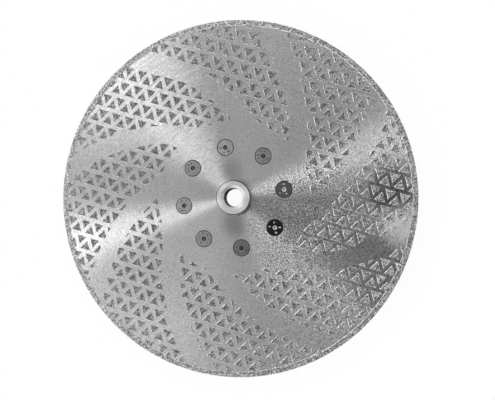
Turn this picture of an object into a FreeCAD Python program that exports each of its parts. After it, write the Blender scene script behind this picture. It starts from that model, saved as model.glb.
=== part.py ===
import FreeCAD, Part
import math
import os

from FreeCAD import Vector

os.makedirs("parts", exist_ok=True)

# Driving dimensions, in millimetres and degrees.
# The disc lies with its working face up and stands on the end of its rear boss.
# Z is the spindle axis, and z = 0 is that end face.

# Blade
disc_diameter = 230.0
blade_thickness = 2.0
blade_hole_clearance = 0.15
blade_hole_chamfer = 0.25

# Abrasive coating round the rim
coat_thickness = 0.4
rim_band_width = 3.8
rim_edge_round = 0.6
rim_border_chamfer = 0.15

# Hub, turned in one piece with its flange
collar_diameter = 22.2
collar_stand = 2.0
collar_chamfer = 0.4
mouth_diameter = 15.4
flange_diameter = 84.0
flange_thickness = 3.0
flange_chamfer = 0.8
boss_diameter = 30.0
boss_length = 9.0
boss_chamfer = 1.0
boss_fillet = 2.0
boss_mouth_chamfer = 1.2
wrench_flat_depth = 1.5
wrench_flat_length = 6.0
thread_nominal = 14.0
thread_pitch = 2.0

# Rivets
rivet_count = 8
rivet_circle_diameter = 65.4
rivet_first_angle = 9.2
rivet_head_diameter = 11.0
rivet_head_land = 0.35
rivet_sink_angle = 120.0
rivet_groove = 0.3
rivet_shank_diameter = 6.0
rivet_tail_diameter = 10.0
rivet_tail_land = 0.5
rivet_tail_height = 2.2
rivet_dimple_diameter = 2.8
rivet_dimple_depth = 0.3
rivet_nub_diameter = 1.0

# Fields of islands, and the bare curved channels between them
field_count = 8
field_inner_radius = 49.5
channel_width = 11.7
channel_inner_angle = 35.3
channel_outer_angle = 79.35
channel_arc_radius = 115.6

# Triangular islands, on one lattice that runs across the whole face
island_side = 6.3
island_height = 0.35
row_gap = 2.525
slant_gap = 2.505
lattice_turn = -16.24
lattice_shift_along = 5.9
lattice_shift_across = 2.57
smallest_island_area = 1.5

# Derived sizes
outer_radius = disc_diameter / 2
blade_radius = outer_radius - coat_thickness
rim_inner_radius = outer_radius - rim_band_width
collar_radius = collar_diameter / 2
blade_hole_radius = collar_radius + blade_hole_clearance
bore_radius = (thread_nominal - thread_pitch) / 2
flange_radius = flange_diameter / 2
boss_radius = boss_diameter / 2
rivet_head_radius = rivet_head_diameter / 2
rivet_shank_radius = rivet_shank_diameter / 2
rivet_sink_depth = (rivet_head_radius - rivet_shank_radius) / math.tan(math.radians(rivet_sink_angle / 2))
triangle_height = island_side * math.sqrt(3) / 2
row_pitch = triangle_height + 2 * row_gap
island_pitch = island_side + (4 * slant_gap - 2 * row_gap) / math.sqrt(3)

# Levels along the axis
flange_back = boss_length
blade_back = flange_back + flange_thickness
blade_front = blade_back + blade_thickness
collar_top = blade_front + collar_stand

axis_point = Vector(0, 0, 0)
axis_direction = Vector(0, 0, 1)
full_turn = 360.0


def section_point(radius, level):
    """A point of a turned section, in the plane y = 0."""
    return Vector(radius, 0, level)


def turned(edges):
    """The solid that a closed section makes when it turns about the axis."""
    face = Part.Face(Part.Wire(edges))
    return face.revolve(axis_point, axis_direction, full_turn)


def straight_edges(points, closed=False):
    """Straight edges through points in order."""
    ends = list(zip(points, points[1:]))
    if closed:
        ends.append((points[-1], points[0]))
    return [Part.makeLine(a, b) for a, b in ends]


def arc_edge(start, middle, end):
    """An arc through three points."""
    return Part.Arc(start, middle, end).toShape()


def quarter_round(start, corner, end):
    """An arc that rounds a square corner, or fills one, between its two tangent points."""
    centre = start + end - corner
    radius = start.distanceToPoint(centre)
    towards = corner - centre
    towards.normalize()
    return arc_edge(start, centre + towards * radius, end)


def on_rivet_circle(shape, index):
    """A copy of a shape on the axis, moved to one place on the rivet circle."""
    angle = math.radians(rivet_first_angle + index * full_turn / rivet_count)
    radius = rivet_circle_diameter / 2
    moved = shape.copy()
    moved.translate(Vector(radius * math.cos(angle), radius * math.sin(angle), 0))
    return moved


def rivet_hole():
    """The room that one rivet fills: its sunk head in the blade and its shank through the flange."""
    land_foot = blade_front - rivet_head_land
    sink_foot = land_foot - rivet_sink_depth
    section = [
        section_point(0, blade_front),
        section_point(rivet_head_radius, blade_front),
        section_point(rivet_head_radius, land_foot),
        section_point(rivet_shank_radius, sink_foot),
        section_point(rivet_shank_radius, flange_back),
        section_point(0, flange_back),
    ]
    return turned(straight_edges(section, closed=True))


def rivet_holes():
    return [on_rivet_circle(rivet_hole(), index) for index in range(rivet_count)]


def steel_blade():
    """Flat steel disc with the arbor hole and the sunk holes for the rivets."""
    section = [
        section_point(blade_hole_radius, blade_back),
        section_point(blade_radius, blade_back),
        section_point(blade_radius, blade_front),
        section_point(blade_hole_radius + blade_hole_chamfer, blade_front),
        section_point(blade_hole_radius, blade_front - blade_hole_chamfer),
    ]
    return turned(straight_edges(section, closed=True)).cut(rivet_holes())


def grit_rim():
    """Abrasive coating that wraps the edge of the blade, with a band on each face."""
    top = blade_front + coat_thickness
    bottom = blade_back - coat_thickness
    shoulder = outer_radius - rim_edge_round
    border = rim_inner_radius + rim_border_chamfer
    upper_round = quarter_round(
        section_point(outer_radius, top - rim_edge_round),
        section_point(outer_radius, top),
        section_point(shoulder, top),
    )
    lower_round = quarter_round(
        section_point(shoulder, bottom),
        section_point(outer_radius, bottom),
        section_point(outer_radius, bottom + rim_edge_round),
    )
    inside = [
        section_point(shoulder, top),
        section_point(border, top),
        section_point(rim_inner_radius, top - rim_border_chamfer),
        section_point(rim_inner_radius, blade_front),
        section_point(blade_radius, blade_front),
        section_point(blade_radius, blade_back),
        section_point(rim_inner_radius, blade_back),
        section_point(rim_inner_radius, bottom + rim_border_chamfer),
        section_point(border, bottom),
        section_point(shoulder, bottom),
    ]
    edge = Part.makeLine(
        section_point(outer_radius, bottom + rim_edge_round),
        section_point(outer_radius, top - rim_edge_round),
    )
    return turned([upper_round] + straight_edges(inside) + [lower_round, edge])


def wrench_cut(side):
    """The metal that leaves the boss beside one wrench flat."""
    start = boss_radius - wrench_flat_depth if side > 0 else -boss_radius
    corner = Vector(-boss_radius, start, 0)
    return Part.makeBox(boss_diameter, wrench_flat_depth, wrench_flat_length, corner)


def hub_flange():
    """Threaded hub, turned in one piece: rear boss, flange, and the collar through the blade."""
    outside = [
        section_point(boss_radius - boss_chamfer, 0),
        section_point(boss_radius, boss_chamfer),
        section_point(boss_radius, flange_back - boss_fillet),
    ]
    inner_corner = quarter_round(
        section_point(boss_radius, flange_back - boss_fillet),
        section_point(boss_radius, flange_back),
        section_point(boss_radius + boss_fillet, flange_back),
    )
    mouth_depth = mouth_diameter / 2 - bore_radius
    rest = [
        section_point(boss_radius + boss_fillet, flange_back),
        section_point(flange_radius - flange_chamfer, flange_back),
        section_point(flange_radius, flange_back + flange_chamfer),
        section_point(flange_radius, blade_back),
        section_point(collar_radius, blade_back),
        section_point(collar_radius, collar_top - collar_chamfer),
        section_point(collar_radius - collar_chamfer, collar_top),
        section_point(mouth_diameter / 2, collar_top),
        section_point(bore_radius, collar_top - mouth_depth),
        section_point(bore_radius, boss_mouth_chamfer),
        section_point(bore_radius + boss_mouth_chamfer, 0),
        section_point(boss_radius - boss_chamfer, 0),
    ]
    body = turned(straight_edges(outside) + [inner_corner] + straight_edges(rest))
    return body.cut(rivet_holes() + [wrench_cut(1), wrench_cut(-1)])


def rivet():
    """Rivet on the axis: flush head with a dimple and a nub, shank, and a domed tail."""
    land_foot = blade_front - rivet_head_land
    sink_foot = land_foot - rivet_sink_depth
    dimple_floor = blade_front - rivet_dimple_depth
    tail_edge = flange_back - rivet_tail_land
    tail_tip = flange_back - rivet_tail_height
    tail_radius = rivet_tail_diameter / 2
    dome_height = tail_edge - tail_tip
    dome_radius = (tail_radius ** 2 + dome_height ** 2) / (2 * dome_height)
    half_angle = math.asin(tail_radius / dome_radius) / 2
    dome_middle = section_point(
        dome_radius * math.sin(half_angle),
        tail_tip + dome_radius * (1 - math.cos(half_angle)),
    )
    section = [
        section_point(0, tail_tip),
        section_point(0, blade_front),
        section_point(rivet_nub_diameter / 2, blade_front),
        section_point(rivet_nub_diameter / 2, dimple_floor),
        section_point(rivet_dimple_diameter / 2 - rivet_dimple_depth / 2, dimple_floor),
        section_point(rivet_dimple_diameter / 2, blade_front),
        section_point(rivet_head_radius - rivet_groove, blade_front),
        section_point(rivet_head_radius, blade_front - rivet_groove),
        section_point(rivet_head_radius, land_foot),
        section_point(rivet_shank_radius, sink_foot),
        section_point(rivet_shank_radius, flange_back),
        section_point(tail_radius, flange_back),
        section_point(tail_radius, tail_edge),
    ]
    dome = arc_edge(section[-1], dome_middle, section[0])
    return turned(straight_edges(section) + [dome])


def rivets():
    return Part.makeCompound([on_rivet_circle(rivet(), index) for index in range(rivet_count)])


def on_face(radius, degrees):
    """A point on the blade's working face, in polar form."""
    angle = math.radians(degrees)
    return Vector(radius * math.cos(angle), radius * math.sin(angle), blade_front)


def channel_centre():
    """Centre of the arc that the first channel's middle line follows."""
    start = on_face(field_inner_radius, channel_inner_angle)
    end = on_face(rim_inner_radius, channel_outer_angle)
    chord = end - start
    half_chord = chord.Length / 2
    reach = math.sqrt(channel_arc_radius ** 2 - half_chord ** 2)
    inward = Vector(-chord.y, chord.x, 0)
    inward.normalize()
    return start + chord * 0.5 + inward * reach


def crossing_angle(radius, arc_radius):
    """Where an arc about the first channel's centre crosses a circle about the axis, in degrees."""
    centre = channel_centre()
    centre_distance = math.hypot(centre.x, centre.y)
    cosine = (radius ** 2 + centre_distance ** 2 - arc_radius ** 2) / (2 * radius * centre_distance)
    return math.degrees(math.atan2(centre.y, centre.x) - math.acos(cosine))


def field_start_angle(radius):
    return crossing_angle(radius, channel_arc_radius - channel_width / 2)


def field_end_angle(radius):
    return crossing_angle(radius, channel_arc_radius + channel_width / 2) + full_turn / field_count


def field_face(turn):
    """The region of one field, between two channels, the hub's circle and the rim's coating."""
    middle_radius = (field_inner_radius + rim_inner_radius) / 2

    def corner(radius, angle_at):
        return on_face(radius, angle_at(radius) + turn)

    def middle_of(radius):
        return on_face(radius, (field_start_angle(radius) + field_end_angle(radius)) / 2 + turn)

    inner_start = corner(field_inner_radius, field_start_angle)
    inner_end = corner(field_inner_radius, field_end_angle)
    outer_start = corner(rim_inner_radius, field_start_angle)
    outer_end = corner(rim_inner_radius, field_end_angle)
    edges = [
        arc_edge(inner_start, corner(middle_radius, field_start_angle), outer_start),
        arc_edge(outer_start, middle_of(rim_inner_radius), outer_end),
        arc_edge(outer_end, corner(middle_radius, field_end_angle), inner_end),
        arc_edge(inner_end, middle_of(field_inner_radius), inner_start),
    ]
    return Part.Face(Part.Wire(edges))


def lattice_point(along, across):
    """A point of the island lattice, on the blade's working face."""
    turn = math.radians(lattice_turn)
    x = along * math.cos(turn) - across * math.sin(turn)
    y = along * math.sin(turn) + across * math.cos(turn)
    return Vector(x, y, blade_front)


def island_triangle(along, base, points_up):
    """One triangle of the lattice, from the middle of its base."""
    tip = base + triangle_height if points_up else base - triangle_height
    corners = [
        lattice_point(along - island_side / 2, base),
        lattice_point(along + island_side / 2, base),
        lattice_point(along, tip),
    ]
    return Part.Face(Part.makePolygon(corners + corners[:1]))


def lattice_triangles():
    """All triangles of the lattice that can reach a field, row by row."""
    columns = math.ceil(rim_inner_radius / island_pitch) + 1
    rows = math.ceil(rim_inner_radius / row_pitch) + 1
    triangles = []
    for row in range(-rows, rows + 1):
        base = lattice_shift_across + row * row_pitch
        for column in range(-columns, columns + 1):
            along = lattice_shift_along + column * island_pitch
            upper_base = base + triangle_height + row_gap
            triangles.append(island_triangle(along, base, True))
            triangles.append(island_triangle(along + island_pitch / 2, upper_base, False))
    return triangles


def near(triangle, region):
    """Whether a triangle's box meets the box of a region."""
    return triangle.BoundBox.intersect(region.BoundBox)


def grit_field(triangles, index):
    """Islands of one field, each a thin prism, cut off where the field ends."""
    region = field_face(index * full_turn / field_count)
    reached = [triangle for triangle in triangles if near(triangle, region)]
    kept = region.common(Part.makeCompound(reached)).Faces
    islands = [face for face in kept if face.Area > smallest_island_area]
    return Part.makeCompound([face.extrude(Vector(0, 0, island_height)) for face in islands])


def main():
    nodes = {
        "steel_blade": steel_blade(),
        "hub_flange": hub_flange(),
        "rivets": rivets(),
        "grit_rim": grit_rim(),
    }
    triangles = lattice_triangles()
    for index in range(field_count):
        nodes["grit_field_%d" % (index + 1)] = grit_field(triangles, index)
    for name, shape in nodes.items():
        shape.exportStep(os.path.join("parts", name + ".step"))
        print("%-14s solids %3d  volume %10.2f mm3" % (name, len(shape.Solids), shape.Volume))


main()
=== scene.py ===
import math
import random

import bmesh
import bpy
from mathutils import Matrix, Vector


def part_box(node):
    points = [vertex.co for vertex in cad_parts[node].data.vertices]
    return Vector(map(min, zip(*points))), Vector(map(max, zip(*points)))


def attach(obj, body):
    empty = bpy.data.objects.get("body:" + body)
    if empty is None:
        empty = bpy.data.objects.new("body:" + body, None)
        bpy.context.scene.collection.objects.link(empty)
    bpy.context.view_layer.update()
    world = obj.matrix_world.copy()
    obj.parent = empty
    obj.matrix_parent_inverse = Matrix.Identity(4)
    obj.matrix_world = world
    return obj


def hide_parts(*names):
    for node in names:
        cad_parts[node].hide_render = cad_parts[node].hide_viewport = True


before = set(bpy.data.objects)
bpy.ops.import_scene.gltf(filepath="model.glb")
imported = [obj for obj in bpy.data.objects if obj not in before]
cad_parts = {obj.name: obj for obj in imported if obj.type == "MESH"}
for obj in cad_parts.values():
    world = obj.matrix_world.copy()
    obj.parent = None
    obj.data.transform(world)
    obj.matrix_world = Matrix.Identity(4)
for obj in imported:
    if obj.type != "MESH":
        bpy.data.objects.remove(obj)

mm = 0.001
upright = Vector((0, 0, 1))
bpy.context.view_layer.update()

bladeLow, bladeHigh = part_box("steel_blade")
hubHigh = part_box("hub_flange")[1]
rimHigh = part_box("grit_rim")[1]
face = bladeHigh.z        # the blade's working face
back = bladeLow.z


# Camera, where the photograph was taken from

camera = dict(
    lens=25.964, sensor=36.0,        # mm
    nearest=0.01,                    # m, where its view starts
    eye=(28.34, -4.14, 241.77),      # mm, in the frame of the part
    aim=(9.11, -1.56, 14.0),         # mm, on the working face
)


def placeCamera(look):
    data = bpy.data.cameras.new("photoCamera")
    data.lens = look["lens"]
    data.sensor_width = look["sensor"]
    data.clip_start = look["nearest"]
    cam = bpy.data.objects.new("photoCamera", data)
    eye = Vector(look["eye"]) * mm
    backward = (eye - Vector(look["aim"]) * mm).normalized()
    right = Vector((0, 1, 0)).cross(backward).normalized()
    up = backward.cross(right)
    turn = Matrix((right, up, backward)).transposed().to_4x4()
    cam.matrix_world = Matrix.Translation(eye) @ turn
    bpy.context.scene.collection.objects.link(cam)
    bpy.context.scene.camera = cam


# Node helpers

def newMaterial(name):
    material = bpy.data.materials.new(name)
    material.use_nodes = True
    return material, material.node_tree, material.node_tree.nodes["Principled BSDF"]


def addNode(tree, kind, inputs=(), **settings):
    node = tree.nodes.new(kind)
    for key, value in settings.items():
        setattr(node, key, value)
    for socket, value in dict(inputs).items():
        if isinstance(value, bpy.types.NodeSocket):
            tree.links.new(value, node.inputs[socket])
        else:
            node.inputs[socket].default_value = value
    return node


def calc(tree, operation, *values):
    return addNode(tree, "ShaderNodeMath", enumerate(values), operation=operation).outputs[0]


def vectorCalc(tree, operation, *values):
    node = addNode(tree, "ShaderNodeVectorMath", enumerate(values), operation=operation)
    return node.outputs["Value" if operation in ("LENGTH", "DOT_PRODUCT") else "Vector"]


def remap(tree, value, low, high, toLow, toHigh, smooth=False):
    kind = "SMOOTHSTEP" if smooth else "LINEAR"
    inputs = {"Value": value, "From Min": low, "From Max": high, "To Min": toLow, "To Max": toHigh}
    return addNode(tree, "ShaderNodeMapRange", inputs, interpolation_type=kind).outputs["Result"]


def mixValues(tree, share, first, second):
    return addNode(tree, "ShaderNodeMix", {0: share, 2: first, 3: second}).outputs[0]


def plainNoise(tree, scale, detail=2.0):
    place = addNode(tree, "ShaderNodeTexCoord").outputs["Object"]
    inputs = {"Vector": place, "Scale": scale, "Detail": detail}
    return addNode(tree, "ShaderNodeTexNoise", inputs).outputs["Fac"]


def addBump(tree, shader, height, distance=mm):
    bump = addNode(tree, "ShaderNodeBump", {"Strength": 1.0, "Distance": distance, "Height": height})
    tree.links.new(bump.outputs[0], shader.inputs["Normal"])


def colorAndRoughness(tree, shader, color, roughness):
    tree.links.new(color, shader.inputs["Base Color"])
    tree.links.new(roughness, shader.inputs["Roughness"])


# Studio: a bright ceiling with a dark part over the disc, dimmer walls, and a few soft boxes

studio = dict(
    ceiling=1.913,                   # light level outside the dark part
    walls=0.45,
    wallStart=56, wallEnd=64,        # degrees from the zenith, where the ceiling gives way to the walls
    # the dark part: azimuth, angle from the zenith, radius where it is dark and where it ends, in degrees
    dark=(-34.4, 13.8, 30.0, 60.0),
    # the same four for each box, then its level
    boxes=[
        (191.2, 42.5, 0.8, 6.0, 13.3),
        (149.1, 47.1, 3.6, 15.6, 1.85),
        (132.8, 50.0, 4.8, 17.7, 3.66),
        (25.1, 46.7, 1.9, 8.3, 5.0),
        (350.0, 49.9, 2.1, 5.4, 6.8),
        (227.1, 62.0, 5.3, 57.9, 0.94),
    ],
    floorSide=8.0,                   # m
    floorWhite=0.92, floorRoughness=0.9,
    floorOwnWhite=0.95,              # share of plain white in what a camera or a mirror sees
)


def towards(azimuth, fromZenith):
    a, z = math.radians(azimuth), math.radians(fromZenith)
    return Vector((math.sin(z) * math.cos(a), math.sin(z) * math.sin(a), math.cos(z)))


def lightStudio(look):
    world = bpy.data.worlds.new("studio")
    world.use_nodes = True
    tree = world.node_tree
    direction = addNode(tree, "ShaderNodeTexCoord").outputs["Generated"]

    def patch(azimuth, fromZenith, inner, outer, low, high):
        near = vectorCalc(tree, "DOT_PRODUCT", direction, towards(azimuth, fromZenith))
        edge, core = math.cos(math.radians(outer)), math.cos(math.radians(inner))
        return remap(tree, near, edge, core, low, high, smooth=True)

    ceiling = patch(*look["dark"], look["ceiling"], 0.0)
    height = addNode(tree, "ShaderNodeSeparateXYZ", {0: direction}).outputs["Z"]
    wallTop, wallFoot = (math.cos(math.radians(look[key])) for key in ("wallStart", "wallEnd"))
    wall = remap(tree, height, wallFoot, wallTop, 1.0, 0.0)
    level = calc(tree, "MULTIPLY", ceiling, calc(tree, "SUBTRACT", 1.0, wall))
    level = calc(tree, "MULTIPLY_ADD", wall, look["walls"], level)
    for azimuth, fromZenith, inner, outer, strength in look["boxes"]:
        box = patch(azimuth, fromZenith, inner, outer, 0.0, strength)
        level = calc(tree, "ADD", level, box)
    # beyond the floor, the camera itself sees plain white
    seen = addNode(tree, "ShaderNodeLightPath").outputs["Is Camera Ray"]
    level = mixValues(tree, seen, level, 1.0)
    tree.links.new(level, tree.nodes["Background"].inputs["Strength"])
    tree.nodes["Background"].inputs["Color"].default_value = (1, 1, 1, 1)
    bpy.context.scene.world = world


def layFloor(look):
    bm = bmesh.new()
    bmesh.ops.create_grid(bm, x_segments=1, y_segments=1, size=look["floorSide"] / 2)
    mesh = bpy.data.meshes.new("floor")
    bm.to_mesh(mesh)
    bm.free()
    floor = bpy.data.objects.new("floor", mesh)
    bpy.context.scene.collection.objects.link(floor)
    material, tree, shader = newMaterial("paleFloor")
    shader.inputs["Base Color"].default_value = (look["floorWhite"],) * 3 + (1,)
    shader.inputs["Roughness"].default_value = look["floorRoughness"]
    shader.inputs["Specular IOR Level"].default_value = 0.0
    rays = addNode(tree, "ShaderNodeLightPath").outputs
    seen = calc(tree, "MAXIMUM", rays["Is Camera Ray"], rays["Is Glossy Ray"])
    seen = calc(tree, "MAXIMUM", seen, rays["Is Transmission Ray"])
    white = addNode(tree, "ShaderNodeEmission", {"Color": (1, 1, 1, 1), "Strength": 1.0})
    share = calc(tree, "MULTIPLY", seen, look["floorOwnWhite"])
    mixed = addNode(tree, "ShaderNodeMixShader", {0: share, 1: shader.outputs[0], 2: white.outputs[0]})
    tree.links.new(mixed.outputs[0], tree.nodes["Material Output"].inputs["Surface"])
    mesh.materials.append(material)


# Turned steel: fine concentric grooves, so the highlights fan out from the axis

noiseSpan = (0.3, 0.7)               # nearly all the values of a noise lie within these
noiseMiddle = 0.5
grooveSpan = (0.25, 0.75)            # as for noiseSpan, along the grooves
grooveNoiseRoughness = 0.6


def aboutAxis(tree, centre=(0, 0)):
    # unit vector away from an upright axis, and the distance from it
    place = addNode(tree, "ShaderNodeTexCoord").outputs["Object"]
    shifted = vectorCalc(tree, "SUBTRACT", place, (centre[0], centre[1], 0))
    flat = vectorCalc(tree, "MULTIPLY", shifted, (1, 1, 0))
    return vectorCalc(tree, "NORMALIZE", flat), vectorCalc(tree, "LENGTH", flat)


def sweptNoise(tree, outward, distance, look):
    # noise drawn out along the grooves: cells per turn of one radian, and their width across
    across = calc(tree, "DIVIDE", distance, look["width"] * mm)
    around = vectorCalc(tree, "MULTIPLY", outward, (look["perRadian"],) * 3)
    lift = addNode(tree, "ShaderNodeCombineXYZ", {"Z": across}).outputs[0]
    place = vectorCalc(tree, "ADD", around, lift)
    inputs = {"Vector": place, "Scale": 1.0, "Detail": look["detail"], "Roughness": grooveNoiseRoughness}
    return addNode(tree, "ShaderNodeTexNoise", inputs).outputs["Fac"]


def levelMask(tree, level):
    # one above a level of the part, nought under it
    place = addNode(tree, "ShaderNodeTexCoord").outputs["Object"]
    height = addNode(tree, "ShaderNodeSeparateXYZ", {0: place}).outputs["Z"]
    return calc(tree, "GREATER_THAN", height, level)


def sector(tree, outward, azimuth, core, fade, beyond, inside):
    # a value that changes smoothly inside a sector of the disc
    facing = vectorCalc(tree, "DOT_PRODUCT", outward, towards(azimuth, 90))
    near, far = math.cos(math.radians(core)), math.cos(math.radians(fade))
    return remap(tree, facing, far, near, beyond, inside, smooth=True)


def aboutOne(tree, noise, gain):
    # a factor that follows a noise above one and below it
    return calc(tree, "MULTIPLY_ADD", calc(tree, "SUBTRACT", noise, noiseMiddle), gain, 1.0)


bladeSteel = dict(
    color=0.645, colorSpread=0.05,
    roughness=0.34, roughnessSpread=0.02,
    anisotropy=1.0,
    grooves=dict(perRadian=5, width=0.35, detail=3),
    grooveHeight=0.004,              # mm
    speckle=dict(perRadian=60, width=0.6, detail=2),
    speckleHeight=0.025,             # mm, at the blade's edge, and less towards the hub
    specklePlain=1.5,                # how strongly the speckle shades the steel, all over
    speckleScuffsAndGlints=7.8,              # the same in the sector of scuffs, where it also stands for painted glints of the reflections
    speckleDarkest=0.15,             # share of the colour that it always leaves
    brushed=dict(perRadian=9, width=0.9, detail=2),
    brushedPlain=0.15,               # how strongly the brush marks shade the steel, all over
    # sectors with more of them, where the bright fans fall, so they are partly painted highlight streaks:
    # azimuth, half widths of the core and the fade, how much more
    brushedMoreUnderHighlights=[(127.0, 14.0, 34.0, 0.8), (188.0, 6.0, 24.0, 0.3), (14.0, 4.0, 14.0, 0.4)],
    scuffsAndGlints=(-20.0, 32.0, 54.0),     # azimuth of its middle, half widths of its core and its fade
    scuffsAndGlintsRadii=(50.0, 84.0, 0.24), # mm, where the scuffs and the painted glints fade outwards, and the share they keep
    paintedDimSector=(-19.0, 14.0, 24.0, 0.74),    # painted shade of a dim reflection: as for the sector of scuffs, then the share of the colour
    # painted highlights and painted shade in place of the reflections, as lighter and darker places: azimuth,
    # then radius, core and fade in mm, and share of the colour
    paintedPatches=[
        (-9.5, 108.0, 5.0, 20.0, 2.5),
        (3.5, 98.0, 8.0, 20.0, 0.4),
        (-32.0, 103.0, 6.0, 19.0, 0.84),
        (290.0, 12.0, 6.0, 17.0, 0.85),
        (308.0, 60.0, 15.0, 45.0, 1.1),
        (207.0, 68.0, 22.0, 45.0, 0.93),
        (126.0, 84.0, 22.0, 42.0, 0.95),
        (157.0, 100.0, 10.0, 30.0, 1.1),
        (243.0, 97.0, 10.0, 32.0, 1.06),
        (32.0, 98.0, 10.0, 25.0, 1.08),
        (92.0, 18.0, 2.0, 11.0, 0.78),
        (270.0, 18.0, 2.0, 12.0, 0.74),
    ],
    gapRadius=11.38, gapWidth=0.2,   # mm, the painted shadow line round the collar
    gapShadowShare=0.05,                   # of the colour, in that line
    # sector where the painted shadow line fades and painted light brightens the steel beside it: azimuth,
    # half widths, its share of the colour and the share beside it
    gapOpen=(-25.0, 45.0, 80.0, 0.9, 1.6),
    gapEase=2.0,                     # mm beyond the line over which the last share fades
    wearAndPaintedLightFrom=0.1,                    # mm below the working face, the only face that is worn and has painted light and shade
)


def bladeWearAndPaintedLight(tree, outward, distance, speckle, look):
    # share of the steel's own colour: scuffs and brush marks, with painted glints and highlight streaks in
    # them, and painted shade and painted highlights in the dull and bright places
    # scuffs, with painted glints of the reflections in them
    inner, outer, kept = look["scuffsAndGlintsRadii"]
    scuffsAndGlints = calc(tree, "MULTIPLY", sector(tree, outward, *look["scuffsAndGlints"], 0.0, 1.0),
                   remap(tree, distance, inner * mm, outer * mm, 1.0, kept, smooth=True))
    gain = remap(tree, scuffsAndGlints, 0.0, 1.0, look["specklePlain"], look["speckleScuffsAndGlints"])
    wornAndPainted = calc(tree, "MAXIMUM", aboutOne(tree, speckle, gain), look["speckleDarkest"])
    gain = look["brushedPlain"]
    # more brush marks where the highlights fall: partly painted highlight streaks
    for azimuth, core, fade, more in look["brushedMoreUnderHighlights"]:
        gain = calc(tree, "ADD", gain, sector(tree, outward, azimuth, core, fade, 0.0, more))
    brushed = sweptNoise(tree, outward, distance, look["brushed"])
    wornAndPainted = calc(tree, "MULTIPLY", wornAndPainted, aboutOne(tree, brushed, gain))
    # painted shade of a dim reflection over a sector
    azimuth, core, fade, share = look["paintedDimSector"]
    wornAndPainted = calc(tree, "MULTIPLY", wornAndPainted, sector(tree, outward, azimuth, core, fade, 1.0, share))
    # painted highlights and painted shade: lighter and darker places on the steel
    for azimuth, radius, core, fade, share in look["paintedPatches"]:
        x, y, _ = towards(azimuth, 90)
        away = aboutAxis(tree, (x * radius * mm, y * radius * mm))[1]
        wornAndPainted = calc(tree, "MULTIPLY", wornAndPainted, remap(tree, away, core * mm, fade * mm, share, 1.0, smooth=True))
    return wornAndPainted


def collarShadowLine(tree, outward, distance, look):
    # share of the steel's colour with a painted shadow line round the collar and painted light beside it
    azimuth, core, fade, inGap, beside = look["gapOpen"]
    inGap = sector(tree, outward, azimuth, core, fade, look["gapShadowShare"], inGap)
    beside = sector(tree, outward, azimuth, core, fade, 1.0, beside)
    edge = look["gapRadius"] * mm
    gap = remap(tree, distance, edge - look["gapWidth"] * mm, edge, inGap, 1.0)
    ease = remap(tree, distance, edge, edge + look["gapEase"] * mm, beside, 1.0)
    return calc(tree, "MULTIPLY", gap, ease)


def makeBladeSteel(look):
    material, tree, shader = newMaterial("turnedSteel")
    outward, distance = aboutAxis(tree)
    grooves = sweptNoise(tree, outward, distance, look["grooves"])
    speckle = sweptNoise(tree, outward, distance, look["speckle"])
    shader.inputs["Metallic"].default_value = 1.0
    shader.inputs["Anisotropic"].default_value = look["anisotropy"]
    tree.links.new(outward, shader.inputs["Tangent"])
    # wear with painted light and shade, and the painted shadow line round the collar
    wornAndPainted = calc(tree, "MULTIPLY", bladeWearAndPaintedLight(tree, outward, distance, speckle, look),
                collarShadowLine(tree, outward, distance, look))
    wornAndPainted = mixValues(tree, levelMask(tree, face - look["wearAndPaintedLightFrom"] * mm), 1.0, wornAndPainted)
    low, high = look["color"] - look["colorSpread"], look["color"] + look["colorSpread"]
    color = calc(tree, "MULTIPLY", remap(tree, grooves, *grooveSpan, low, high), wornAndPainted)
    low, high = look["roughness"] - look["roughnessSpread"], look["roughness"] + look["roughnessSpread"]
    colorAndRoughness(tree, shader, calc(tree, "MINIMUM", color, 1.0),
                      remap(tree, grooves, *grooveSpan, low, high))
    rise = remap(tree, distance, 0.0, bladeHigh.x, 0.0, look["speckleHeight"])
    height = calc(tree, "MULTIPLY", speckle, rise)
    addBump(tree, shader, calc(tree, "MULTIPLY_ADD", grooves, look["grooveHeight"], height))
    return material


# Meshes

sweepWay = Vector((1.0, 0.7313, 0.4171))     # askew, so that corners and faces come one after another


def settleOrder(bm):
    # the same order of corners and faces in every run, so that the grains fall in the same places
    bm.verts.sort(key=lambda vert: vert.co.dot(sweepWay))
    bm.faces.sort(key=lambda polygon: polygon.calc_center_median().dot(sweepWay))


def newPiece(name, bm, material, slotName, *replaced):
    settleOrder(bm)
    mesh = bpy.data.meshes.new(name)
    bm.to_mesh(mesh)
    bm.free()
    piece = bpy.data.objects.new(name, mesh)
    bpy.context.scene.collection.objects.link(piece)
    mesh.materials.append(material)
    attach(piece, "root")
    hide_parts(*replaced)
    return piece


def spinSection(bm, points, steps, centre=(0, 0), closed=True):
    # turns a section of (radius, level) points, in mm, about an upright axis
    verts = [bm.verts.new(((centre[0] + r) * mm, centre[1] * mm, z * mm)) for r, z in points]
    pairs = list(zip(verts, verts[1:]))
    if closed:
        pairs.append((verts[-1], verts[0]))
    edges = [bm.edges.new(pair) for pair in pairs]
    axisAt = Vector((centre[0], centre[1], 0)) * mm
    bmesh.ops.spin(bm, geom=verts + edges, cent=axisAt, axis=upright, angle=2 * math.pi, steps=steps,
                   use_merge=True)


def tidyMesh(bm):
    bmesh.ops.remove_doubles(bm, verts=bm.verts, dist=0.002 * mm)
    bmesh.ops.recalc_face_normals(bm, faces=bm.faces)


# Diamond grains

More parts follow.
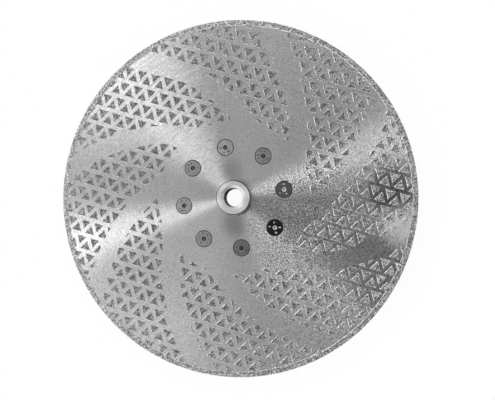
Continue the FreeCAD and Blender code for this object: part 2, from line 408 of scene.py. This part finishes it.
grains = dict(
    kinds=6,
    jitter=0.18,
    islandSpacing=0.62,              # mm between grains
    rimSpacing=0.64,
    size=0.34,                       # mm, from the middle of a grain to its corner
    cubeSide=1.15,                   # side of a blocky grain, as a share of that
    smallest=0.7, largest=1.1,
    bed=(0.055, 0.28),               # darkest and lightest of the plating between the grains
    rimBed=(0.17, 0.68),
    bedSpan=(0.35, 0.65),            # the noise's values that give them
    bedRoughness=0.6,
    smearScale=1300.0, smearHeight=0.1,      # mm
    faintest=0.1,                    # lowest tone of a grain, since the plating has none
    darkest=0.015, lightest=0.8,
    rimLightest=1.0,
    toneCurve=1.7,
    brightest=0.8,                   # colour that no grit goes beyond
    clumpScale=640.0,                # of the noise that lightens and darkens groups of grains
    clumps=(0.45, 1.6),
    islandPaintedLight=(-18.0, 18.0, 44.0, 1.28),       # sector of islands brightened with painted light: azimuth, half widths, gain
    outwards=(84.0, 108.0, 1.35),    # mm, where the islands' grit gets brighter outwards, and its gain
    # painted shade: sector where the rim's grit is darker, as for the islands
    rimPaintedShade=(-20.0, 40.0, 140.0, 0.76),
    grainRoughness=0.4,
    metal=0.25,
    edge=0.8,                        # the bare plating on the sloped edges
    edgeDarker=0.8,                  # share of that in its darker spots
    edgeRoughness=0.38,
    edgeScale=700.0, edgeHeight=0.02,        # mm
)


def makeGritMaterial(look, name, bed, lightest, paintedSector, outwards=None):
    material, tree, shader = newMaterial(name)
    tone = addNode(tree, "ShaderNodeAttribute", attribute_name="grainTone").outputs["Fac"]
    isGrain = calc(tree, "GREATER_THAN", tone, look["faintest"] / 2)
    shade = remap(tree, calc(tree, "POWER", tone, look["toneCurve"]), 0.0, 1.0, look["darkest"], lightest)
    smear = plainNoise(tree, look["smearScale"])
    clumps = remap(tree, plainNoise(tree, look["clumpScale"], 1.0), *noiseSpan, *look["clumps"])
    # painted light or painted shade over a sector of the grit
    azimuth, core, fade, gain = paintedSector
    outward, distance = aboutAxis(tree)
    clumps = calc(tree, "MULTIPLY", clumps, sector(tree, outward, azimuth, core, fade, 1.0, gain))
    if outwards:
        inner, outer, gain = outwards
        clumps = calc(tree, "MULTIPLY", clumps, remap(tree, distance, inner * mm, outer * mm, 1.0, gain))
    color = mixValues(tree, isGrain, remap(tree, smear, *look["bedSpan"], *bed), shade)
    color = calc(tree, "MINIMUM", calc(tree, "MULTIPLY", color, clumps), look["brightest"])
    rough = remap(tree, isGrain, 0.0, 1.0, look["bedRoughness"], look["grainRoughness"])
    colorAndRoughness(tree, shader, color, rough)
    shader.inputs["Metallic"].default_value = look["metal"]
    addBump(tree, shader, smear, look["smearHeight"] * mm)
    return material


def makeEdgeMaterial(look):
    material, tree, shader = newMaterial("nickelEdge")
    smear = plainNoise(tree, look["edgeScale"])
    color = remap(tree, smear, *noiseSpan, look["edge"] * look["edgeDarker"], look["edge"])
    tree.links.new(color, shader.inputs["Base Color"])
    shader.inputs["Metallic"].default_value = 1.0
    shader.inputs["Roughness"].default_value = look["edgeRoughness"]
    addBump(tree, shader, smear, look["edgeHeight"] * mm)
    return material


def makeCrystals(look):
    # a few blocky and pointed crystals, which every grain is a copy of
    chance = random.Random(7)
    crystals = bpy.data.collections.new("crystals")
    for index in range(look["kinds"]):
        bm = bmesh.new()
        if index % 2:
            bmesh.ops.create_cube(bm, size=look["cubeSide"] * look["size"] * mm)
        else:
            bmesh.ops.create_uvsphere(bm, u_segments=4, v_segments=2, radius=look["size"] * mm)
        for vert in bm.verts:
            push = Vector([chance.uniform(-1, 1) for _ in range(3)])
            vert.co += push * look["jitter"] * look["size"] * mm
        bmesh.ops.triangulate(bm, faces=bm.faces)
        bmesh.ops.recalc_face_normals(bm, faces=bm.faces)
        mesh = bpy.data.meshes.new("crystal%d" % index)
        bm.to_mesh(mesh)
        bm.free()
        crystals.objects.link(bpy.data.objects.new("crystal%d" % index, mesh))
    return crystals


mostGrains = 1e8                     # to a square metre, so many that the spacing alone decides


def grainNodes(crystals, look):
    tree = bpy.data.node_groups.new("scatterGrains", "GeometryNodeTree")
    for way in ("INPUT", "OUTPUT"):
        tree.interface.new_socket("Geometry", in_out=way, socket_type="NodeSocketGeometry")
    for name, kind in (("Spacing", "NodeSocketFloat"), ("Seed", "NodeSocketInt"),
                       ("Grit", "NodeSocketMaterial")):
        tree.interface.new_socket(name, in_out="INPUT", socket_type=kind)
    given = addNode(tree, "NodeGroupInput").outputs
    gritty = addNode(tree, "GeometryNodeInputNamedAttribute", {"Name": "gritty"}, data_type="BOOLEAN")
    gritty = [socket for socket in gritty.outputs if socket.enabled][0]
    beds = addNode(tree, "GeometryNodeSeparateGeometry", {"Geometry": given["Geometry"], "Selection": gritty},
                   domain="FACE").outputs[0]
    points = addNode(tree, "GeometryNodeDistributePointsOnFaces",
                     {"Mesh": beds, "Distance Min": given["Spacing"], "Density Max": mostGrains,
                      "Seed": given["Seed"]}, distribute_method="POISSON").outputs["Points"]

    def chance(low, high, shift, kind="FLOAT"):
        seed = calc(tree, "ADD", given["Seed"], shift)
        node = addNode(tree, "FunctionNodeRandomValue", data_type=kind)
        ends = [socket for socket in node.inputs if socket.enabled and socket.name in ("Min", "Max")]
        ends[0].default_value, ends[1].default_value = low, high
        tree.links.new(seed, node.inputs["Seed"])
        return [socket for socket in node.outputs if socket.enabled][0]

    toned = addNode(tree, "GeometryNodeStoreNamedAttribute",
                    {"Geometry": points, "Name": "grainTone", "Value": chance(look["faintest"], 1.0, 11)},
                    data_type="FLOAT", domain="POINT").outputs[0]
    turn = chance((0, 0, 0), (6.28, 6.28, 6.28), 12, "FLOAT_VECTOR")
    scale = chance(look["smallest"], look["largest"], 13)
    which = chance(0, look["kinds"] - 1, 14, "INT")
    kinds = addNode(tree, "GeometryNodeCollectionInfo",
                    {"Collection": crystals, "Separate Children": True}).outputs[0]
    placed = addNode(tree, "GeometryNodeInstanceOnPoints",
                     {"Points": toned, "Instance": kinds, "Pick Instance": True,
                      "Instance Index": which, "Rotation": turn, "Scale": scale}).outputs[0]
    real = addNode(tree, "GeometryNodeRealizeInstances", {0: placed}).outputs[0]
    real = addNode(tree, "GeometryNodeSetMaterial", {"Geometry": real, "Material": given["Grit"]}).outputs[0]
    joined = addNode(tree, "GeometryNodeJoinGeometry")
    tree.links.new(given["Geometry"], joined.inputs[0])
    tree.links.new(real, joined.inputs[0])
    tree.links.new(joined.outputs[0], addNode(tree, "NodeGroupOutput").inputs[0])
    return tree


def markGritty(bm, chosen):
    layer = bm.faces.layers.bool.new("gritty")
    for polygon in bm.faces:
        polygon[layer] = chosen(polygon)


def coverWithGrains(piece, nodes, spacing, seed):
    modifier = piece.modifiers.new("grains", "NODES")
    modifier.node_group = nodes
    names = {item.name: item.identifier for item in nodes.interface.items_tree if item.in_out == "INPUT"}
    modifier[names["Spacing"]] = spacing * mm
    modifier[names["Seed"]] = seed
    modifier[names["Grit"]] = piece.data.materials[0]
    applyModifiers(piece)
    materials = piece.data.materials
    for index in reversed(range(len(materials))):
        if materials[index] is None:
            materials.pop(index=index)


def dressEdge(piece, radius):
    # grains that stand out of the disc's edge are dressed to one radius
    for vert in piece.data.vertices:
        away = math.hypot(vert.co.x, vert.co.y)
        if away > radius:
            vert.co.x *= radius / away
            vert.co.y *= radius / away


def applyModifiers(piece):
    graph = bpy.context.evaluated_depsgraph_get()
    done = bpy.data.meshes.new_from_object(piece.evaluated_get(graph), preserve_all_data_layers=True,
                                           depsgraph=graph)
    piece.modifiers.clear()
    old = piece.data
    piece.data = done
    done.name = piece.name
    bpy.data.meshes.remove(old)


# Triangular islands: a low nickel pad with sloped sides, and the grains in it

islands = dict(
    spread=0.14,                     # mm that the plating spreads beyond the outline
    padHeight=0.1,
    footHeight=0.02,
    slopeWidth=0.15,
    slopeShare=0.5,                  # of the largest circle's radius in a small island, at most
)

sharpest = 0.3                       # limits how far a sharp corner runs out when an outline spreads


def spreadOutline(top, width):
    # moves the walls round an island's top face outwards
    moves = {}
    for loop in top.loops:
        before = (loop.vert.co - loop.link_loop_prev.vert.co).normalized()
        after = (loop.link_loop_next.vert.co - loop.vert.co).normalized()
        corner = before.cross(upright) + after.cross(upright)
        moves[loop.vert] = corner * width / max(1 + before.dot(after), sharpest)
    for vert, move in moves.items():
        below = [edge.other_vert(vert) for edge in vert.link_edges if edge.other_vert(vert) not in moves]
        for wallVert in [vert] + below:
            wallVert.co += move


def makeIslands(look, gritLook, nodes, material, edgeMaterial):
    fields = sorted(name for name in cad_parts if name.startswith("grit_field_"))
    for seed, name in enumerate(fields):
        bm = bmesh.new()
        bm.from_mesh(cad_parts[name].data)
        bmesh.ops.remove_doubles(bm, verts=bm.verts, dist=0.001 * mm)
        bmesh.ops.dissolve_limit(bm, angle_limit=math.radians(1), verts=bm.verts, edges=bm.edges)
        tops = [polygon for polygon in bm.faces if polygon.normal.z > 0.9]
        for vert in {vert for top in tops for vert in top.verts}:
            vert.co.z = face + look["footHeight"] * mm
        for top in tops:
            spreadOutline(top, look["spread"] * mm)
            inside = 2 * top.calc_area() / top.calc_perimeter()
            width = min(look["slopeWidth"] * mm, look["slopeShare"] * inside)
            rise = (look["padHeight"] - look["footHeight"]) * width / look["slopeWidth"]
            slopes = bmesh.ops.inset_individual(bm, faces=[top], thickness=width, use_even_offset=True)
            bmesh.ops.translate(bm, vec=(0, 0, rise), verts=top.verts)
            for slope in slopes["faces"]:
                slope.material_index = 1
        bmesh.ops.recalc_face_normals(bm, faces=bm.faces)
        markGritty(bm, lambda polygon: polygon.normal.z > 0.99)
        piece = newPiece("islands_%s" % name.rsplit("_", 1)[1], bm, material, "diamond_grit", name)
        piece.data.materials.append(edgeMaterial)
        coverWithGrains(piece, nodes, gritLook["islandSpacing"], seed)
    print("stage: islands", len(fields))


# Rim coating: wraps the blade's edge, with a band on each face

rim = dict(
    steps=540,
    plating=0.2,                     # mm on each face
    edgePlating=0.1,                 # mm round the outside, under the grains
    round=0.5, roundMiddle=0.29,     # mm, and how far in its middle lies, as a share
    borderSlope=0.2, borderReach=0.1,        # mm, the slope and how far past it the border waves
    borderWaves=[(7, 0.16, 1.0), (19, 0.1, 2.1), (43, 0.07, 0.4)],   # per turn, mm, phase
    inner=111.2,
    bladeRadius=114.6,
    clearance=0.02,                  # mm that the grains stay within the disc's radius
    grainSeed=50,
)


def makeRim(look, gritLook, nodes, material, edgeMaterial):
    bm = bmesh.new()
    top, bottom = face / mm + look["plating"], back / mm - look["plating"]
    outer = look["bladeRadius"] + look["edgePlating"]
    border = look["inner"] + look["borderSlope"]
    rounded, middle = look["round"], look["round"] * look["roundMiddle"]
    section = [
        (look["inner"], face / mm),
        (border, top),
        (outer - rounded, top),
        (outer - middle, top - middle),
        (outer, top - rounded),
        (outer, bottom + rounded),
        (outer - middle, bottom + middle),
        (outer - rounded, bottom),
        (border, bottom),
        (look["inner"], back / mm),
        (look["bladeRadius"], back / mm),
        (look["bladeRadius"], face / mm),
    ]
    spinSection(bm, section, look["steps"])
    tidyMesh(bm)

    def outside(quad):
        # the coating's open faces, without its inner walls and its sloped border
        place = quad.calc_center_median()
        away = math.hypot(place.x, place.y)
        onFlat = not back - 0.5 * look["plating"] * mm < place.z < face + 0.5 * look["plating"] * mm
        onEdge = away > (look["bladeRadius"] + 0.5 * look["edgePlating"]) * mm
        return away > border * mm and (onFlat or onEdge)

    markGritty(bm, outside)
    layer = bm.faces.layers.bool["gritty"]
    for quad in bm.faces:
        quad.material_index = int(not quad[layer])
    for vert in bm.verts:
        away = math.hypot(vert.co.x, vert.co.y)
        if away < (border + look["borderReach"]) * mm:
            turn = math.atan2(vert.co.y, vert.co.x)
            push = sum(size * math.sin(waves * turn + phase) for waves, size, phase in look["borderWaves"])
            vert.co += Vector((math.cos(turn), math.sin(turn), 0)) * push * mm
    piece = newPiece("rim_coating", bm, material, "diamond_grit", "grit_rim")
    piece.data.materials.append(edgeMaterial)
    coverWithGrains(piece, nodes, gritLook["rimSpacing"], look["grainSeed"])
    dressEdge(piece, rimHigh.x - look["clearance"] * mm)
    print("stage: rim", len(piece.data.polygons))


# Hub: collar, flange and boss turned in one piece, with the spindle thread cut inside

hub = dict(
    steps=192,
    collarRadius=11.1, collarChamfer=0.4,            # mm
    mouthRadius=7.8, mouthFoot=6.1, mouthLand=0.2, mouthRelief=0.8,
    crestRadius=6.0, rootRadius=6.95,
    rearMouthRadius=7.2,
    flangeThickness=3.0, flangeChamfer=0.8,
    bossRadius=15.0, bossChamfer=1.0, bossFillet=2.0,
    filletSteps=6,
    flatDepth=1.5, flatLength=6.0, cutterDepth=10.0,
    edgeRound=0.1, roundedFrom=25,                   # mm, and degrees between the two walls
    paintedShadeDown=1.4, paintedShadeIn=1.2,                      # reach of the painted shade on the collar's edge, in chamfers
    pitch=2.0, crestWidth=0.3, footWidth=1.7,
    threadSteps=48,                                  # per turn
    threadFrom=0.9, threadTurns=5.9, threadSunk=0.1,
    color=(0.87, 0.96),
    roughness=(0.36, 0.44),
    anisotropy=0.8, anisotropyTurn=0.25,
    grooves=dict(perRadian=6, width=0.25, detail=3),
    grooveHeight=0.004,
    boreShadeShare=0.13, boreEase=0.1,                    # of the colour in the bore, darkened as painted shade, and mm to its edge
    rearShare=0.72,                                  # of the colour on the flange and the boss
)


def makeHubSteel(look):
    material, tree, shader = newMaterial("platedSteel")
    outward, distance = aboutAxis(tree)
    grooves = sweptNoise(tree, outward, distance, look["grooves"])
    shade = remap(tree, grooves, *grooveSpan, *look["color"])
    # painted shade: the bore below the mouth is darkened
    mouthEdge = (look["mouthRadius"] + look["boreEase"]) * mm
    beyond = remap(tree, distance, look["rootRadius"] * mm, mouthEdge, 0.0, 1.0)
    mouthFoot = hubHigh.z - (look["mouthRadius"] - look["mouthFoot"]) * mm
    outsideBoreShade = calc(tree, "MAXIMUM", beyond, levelMask(tree, mouthFoot))
    shade = calc(tree, "MULTIPLY", shade, remap(tree, outsideBoreShade, 0.0, 1.0, look["boreShadeShare"], 1.0))
    behind = remap(tree, levelMask(tree, face), 0.0, 1.0, look["rearShare"], 1.0)
    shade = calc(tree, "MULTIPLY", shade, behind)
    shader.inputs["Metallic"].default_value = 1.0
    shader.inputs["Anisotropic"].default_value = look["anisotropy"]
    shader.inputs["Anisotropic Rotation"].default_value = look["anisotropyTurn"]
    tree.links.new(vectorCalc(tree, "CROSS_PRODUCT", outward, upright), shader.inputs["Tangent"])
    colorAndRoughness(tree, shader, shade, remap(tree, grooves, *grooveSpan, *look["roughness"]))
    addBump(tree, shader, calc(tree, "MULTIPLY", grooves, look["grooveHeight"]))
    return material


def hubSection(look):
    boss, chamfer, fillet = look["bossRadius"], look["bossChamfer"], look["bossFillet"]
    flangeRadius = hubHigh.x / mm
    collarTop = hubHigh.z / mm
    mouthFoot = collarTop - (look["mouthRadius"] - look["mouthFoot"])
    flangeTop = back / mm
    flangeFoot = flangeTop - look["flangeThickness"]
    section = [(boss - chamfer, 0), (boss, chamfer)]
    for step in range(look["filletSteps"] + 1):
        a = math.radians(90 * step / look["filletSteps"])
        section.append((boss + fillet * (1 - math.cos(a)), flangeFoot - fillet * (1 - math.sin(a))))
    section += [
        (flangeRadius - look["flangeChamfer"], flangeFoot),
        (flangeRadius, flangeFoot + look["flangeChamfer"]),
        (flangeRadius, flangeTop),
        (look["collarRadius"], flangeTop),
        (look["collarRadius"], collarTop - look["collarChamfer"]),
        (look["collarRadius"] - look["collarChamfer"], collarTop),
        (look["mouthRadius"], collarTop),
        (look["mouthFoot"], mouthFoot),
        (look["mouthFoot"], mouthFoot - look["mouthLand"]),
        (look["rootRadius"], mouthFoot - look["mouthRelief"]),
        (look["rootRadius"], look["rearMouthRadius"] - look["rootRadius"]),
        (look["rearMouthRadius"], 0),
    ]
    return section


def roundRings(bm, look):
    # rounds the edges that run round the axis where two walls meet at a clear angle
    def isRing(edge):
        level = abs(edge.verts[0].co.z - edge.verts[1].co.z) < 0.001 * mm
        return level and edge.is_manifold and edge.calc_face_angle() > math.radians(look["roundedFrom"])

    rings = [edge for edge in bm.edges if isRing(edge)]
    bmesh.ops.bevel(bm, geom=rings, offset=look["edgeRound"] * mm, segments=2, profile=0.5, material=-1,
                    affect="EDGES", clamp_overlap=True)


def cutFlats(piece, look):
    cutters = []
    for side in (1, -1):
        bm = bmesh.new()
        size = Vector((4 * look["bossRadius"], look["cutterDepth"], 2 * look["flatLength"])) * mm
        middle = side * ((look["bossRadius"] - look["flatDepth"]) * mm + size.y / 2)
        bmesh.ops.create_cube(bm, size=1.0, matrix=Matrix.LocRotScale((0, middle, 0), None, size))
        mesh = bpy.data.meshes.new("flatCutter")
        bm.to_mesh(mesh)
        bm.free()
        cutter = bpy.data.objects.new("flatCutter", mesh)
        bpy.context.scene.collection.objects.link(cutter)
        modifier = piece.modifiers.new("flat", "BOOLEAN")
        modifier.object, modifier.solver = cutter, "EXACT"
        cutters.append(cutter)
    applyModifiers(piece)
    for cutter in cutters:
        bpy.data.objects.remove(cutter)


def addThread(bm, look):
    # the ridge's foot is sunk a little into the bore's wall
    foot, crest = look["footWidth"] / 2, look["crestWidth"] / 2
    root = look["rootRadius"] + look["threadSunk"]
    profile = [(root, -foot), (look["crestRadius"], -crest), (look["crestRadius"], crest), (root, foot)]
    verts = [bm.verts.new((r * mm, 0, (z + look["threadFrom"]) * mm)) for r, z in profile]
    edges = [bm.edges.new((a, b)) for a, b in zip(verts, verts[1:] + verts[:1])]
    steps = round(look["threadTurns"] * look["threadSteps"])
    lift = Vector((0, 0, look["pitch"] * mm / look["threadSteps"]))
    bmesh.ops.spin(bm, geom=verts + edges, cent=(0, 0, 0), axis=upright, dvec=lift, steps=steps,
                   angle=2 * math.pi * look["threadTurns"])
    bmesh.ops.holes_fill(bm, edges=[edge for edge in bm.edges if edge.is_boundary])


def makeHub(look, material, shadeAndGrime):
    bm = bmesh.new()
    spinSection(bm, hubSection(look), look["steps"])
    tidyMesh(bm)
    roundRings(bm, look)
    # painted shade on the collar's chamfer, as its dark edge
    paintedShadeFoot = hubHigh.z - look["paintedShadeDown"] * look["collarChamfer"] * mm
    paintedShadeInner = look["collarRadius"] - look["paintedShadeIn"] * look["collarChamfer"]
    for quad in bm.faces:
        place = quad.calc_center_median()
        away = math.hypot(place.x, place.y) / mm
        quad.material_index = int(place.z > paintedShadeFoot and away > paintedShadeInner)
    piece = newPiece("hub", bm, material, "hub_steel", "hub_flange")
    piece.data.materials.append(shadeAndGrime)
    cutFlats(piece, look)
    bm = bmesh.new()
    addThread(bm, look)
    bmesh.ops.recalc_face_normals(bm, faces=bm.faces)
    bm.from_mesh(piece.data)
    bm.to_mesh(piece.data)
    bm.free()
    print("stage: hub", len(piece.data.polygons))


# Rivets: sunk heads flush with the face, and domed tails behind the flange

rivet = dict(
    count=8, circleRadius=32.7, firstAngle=9.2,      # mm, degrees
    steps=64,
    headRadius=5.5, land=0.35, groove=0.5,
    shankRadius=3.0, sinkDepth=1.443,
    dimpleRadius=1.4, dimpleFloor=0.85, dimpleDepth=0.35,
    nubRadius=0.4, nubCrown=0.7, nubDrops=(0.04, 0.07),      # below the head, at its middle and its edge
    tailRadius=5.0, tailLand=0.5, tailHeight=2.2, domeSteps=8,
    proud=0.03,
    pips=8, pipCircle=3.3, pipSize=0.72, pipHeight=0.12,
    pipLengths=(0.6, 1.1), pipWidths=(0.5, 1.0), cleanPipShare=0.7,
    tilt=0.8,                                        # degrees, how far a head may lean
    tiltFrom=1.5,                                    # lands below the face, down to where it leans
    # tones of the heads, from the first: some are oiled dark
    tones=[0.45, 0.98, 1.0, 0.72, 0.75, 0.68, 0.56, 0.08],
    oiledBelow=0.5,
    bare=1.5,                                        # tone of the marks on a dark head
    color=(0.496, 0.713), stainScale=420.0, stainHeight=0.03,
    roughness=(0.3, 0.44), roughScale=1500.0,
    # painted shade in the grooves, the dimples and on the collar's chamfer, and grime in the dark press marks
    shadeAndGrimeColor=(0.012, 0.036), shadeAndGrimeScale=700.0, shadeAndGrimeRoughness=0.6, shadeAndGrimeMetal=0.5,
)


def makeRivetSteel(look):
    material, tree, shader = newMaterial("rivetSteel")
    stains = plainNoise(tree, look["stainScale"], 3.0)
    shade = remap(tree, stains, *noiseSpan, *look["color"])
    headTone = addNode(tree, "ShaderNodeAttribute", attribute_name="headTone").outputs["Fac"]
    shade = calc(tree, "MINIMUM", calc(tree, "MULTIPLY", shade, headTone), 1.0)
    rough = remap(tree, plainNoise(tree, look["roughScale"]), *noiseSpan, *look["roughness"])
    shader.inputs["Metallic"].default_value = 1.0
    colorAndRoughness(tree, shader, shade, rough)
    addBump(tree, shader, stains, look["stainHeight"] * mm)
    return material


# dark material: painted shade in hollows and on the collar's edge, and grime for the press marks
def makeShadeAndGrime(look):
    material, tree, shader = newMaterial("grooveGrime")
    shade = remap(tree, plainNoise(tree, look["shadeAndGrimeScale"]), *noiseSpan, *look["shadeAndGrimeColor"])
    tree.links.new(shade, shader.inputs["Base Color"])
    shader.inputs["Metallic"].default_value = look["shadeAndGrimeMetal"]
    shader.inputs["Roughness"].default_value = look["shadeAndGrimeRoughness"]
    return material


def rivetSection(look):
    top = face / mm + look["proud"]
    crown, crownEdge = (top - drop for drop in look["nubDrops"])
    floor = top - look["dimpleDepth"]
    landFoot = face / mm - look["land"]
    flangeBack = back / mm - hub["flangeThickness"]
    tailEdge = flangeBack - look["tailLand"]
    section = [
        (0, crown),
        (look["nubRadius"] * look["nubCrown"], crownEdge),
        (look["nubRadius"], floor),
        (look["dimpleRadius"] * look["dimpleFloor"], floor),
        (look["dimpleRadius"], top),
        (look["headRadius"] - look["groove"], top),
        (look["headRadius"], landFoot),
        (look["shankRadius"], landFoot - look["sinkDepth"]),
        (look["shankRadius"], flangeBack),
        (look["tailRadius"], flangeBack),
        (look["tailRadius"], tailEdge),
    ]
    dome = look["tailHeight"] - look["tailLand"]
    for step in range(1, look["domeSteps"] + 1):
        a = math.radians(90 * step / look["domeSteps"])
        section.append((look["tailRadius"] * math.cos(a), tailEdge - dome * math.sin(a)))
    return section


def toneHead(bm, layer, centre, tone, oiled, look):
    # the tone of a head's top, with painted shade in its groove and its dimple, or the dimple bare where it
    # is oiled
    for quad in bm.faces:
        upwards = quad.normal.z > 0
        quad[layer] = tone if upwards else 1.0
        away = (quad.calc_center_median() - centre).xy.length
        inGroove = upwards and away > (look["headRadius"] - look["groove"]) * mm
        inDimple = upwards and look["nubRadius"] * mm < away < look["dimpleRadius"] * mm
        if inDimple and oiled:
            quad[layer] = look["bare"]
        quad.material_index = int(inGroove or (inDimple and not oiled))


def pressMarks(bm, layer, centre, oiled, chance, look):
    # small marks in seeded places on a ring: bare on an oiled head, and dark on a clean one
    for _ in range(look["pips"] // 2 if oiled else look["pips"]):
        turn = chance.uniform(0, 2 * math.pi)
        spot = centre + Vector((math.cos(turn), math.sin(turn), 0)) * look["pipCircle"] * mm
        size = look["pipSize"] * chance.uniform(*look["pipLengths"]) * mm
        if not oiled:
            size *= look["cleanPipShare"]
        scale = Vector((size, size * chance.uniform(*look["pipWidths"]), look["pipHeight"] * mm))
        turned = Matrix.Rotation(chance.uniform(0, 3.14), 3, "Z").to_quaternion()
        bead = bmesh.ops.create_icosphere(bm, subdivisions=2, radius=1.0,
                                          matrix=Matrix.LocRotScale(spot, turned, scale))
        for polygon in {polygon for vert in bead["verts"] for polygon in vert.link_faces}:
            polygon[layer] = look["bare"]
            polygon.material_index = int(not oiled)


def leanHead(bm, centre, chance, look):
    lean = math.radians(chance.uniform(-1, 1) * look["tilt"])
    hinge = Vector((chance.uniform(-1, 1), chance.uniform(-1, 1), 0)).normalized()
    heads = [vert for vert in bm.verts if vert.co.z > face - look["land"] * mm * look["tiltFrom"]]
    bmesh.ops.rotate(bm, cent=centre, matrix=Matrix.Rotation(lean, 3, hinge), verts=heads)


def makeRivets(look, material, shadeAndGrime):
    chance = random.Random(3)
    bm = bmesh.new()
    for index, tone in zip(range(look["count"]), look["tones"]):
        a = math.radians(look["firstAngle"] + index * 360 / look["count"])
        x, y = look["circleRadius"] * math.cos(a), look["circleRadius"] * math.sin(a)
        centre = Vector((x * mm, y * mm, face + look["proud"] * mm))     # of the head's top
        oiled = tone < look["oiledBelow"]
        one = bmesh.new()
        spinSection(one, rivetSection(look), look["steps"], centre=(x, y), closed=False)
        tidyMesh(one)
        layer = one.faces.layers.float.new("headTone")
        toneHead(one, layer, centre, tone, oiled, look)
        pressMarks(one, layer, centre, oiled, chance, look)
        leanHead(one, centre, chance, look)
        mesh = bpy.data.meshes.new("oneRivet")
        one.to_mesh(mesh)
        one.free()
        bm.from_mesh(mesh)
        bpy.data.meshes.remove(mesh)
    piece = newPiece("rivet_set", bm, material, "rivet_steel", "rivets")
    piece.data.materials.append(shadeAndGrime)
    print("stage: rivets", len(piece.data.polygons))


bpy.context.scene.view_settings.view_transform = "Standard"
placeCamera(camera)
lightStudio(studio)
layFloor(studio)
print("stage: studio")

steel = makeBladeSteel(bladeSteel)
grit = makeGritMaterial(grains, "diamondGrit", grains["bed"], grains["lightest"], grains["islandPaintedLight"],
                        grains["outwards"])
rimGrit = makeGritMaterial(grains, "rimGrit", grains["rimBed"], grains["rimLightest"], grains["rimPaintedShade"])
nickelEdge = makeEdgeMaterial(grains)
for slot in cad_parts["steel_blade"].material_slots:
    slot.material = steel
print("stage: steel")

shadeAndGrime = makeShadeAndGrime(rivet)
makeHub(hub, makeHubSteel(hub), shadeAndGrime)
makeRivets(rivet, makeRivetSteel(rivet), shadeAndGrime)

crystals = makeCrystals(grains)
scatter = grainNodes(crystals, grains)
makeIslands(islands, grains, scatter, grit, nickelEdge)
makeRim(rim, grains, scatter, rimGrit, nickelEdge)

bpy.context.view_layer.update()
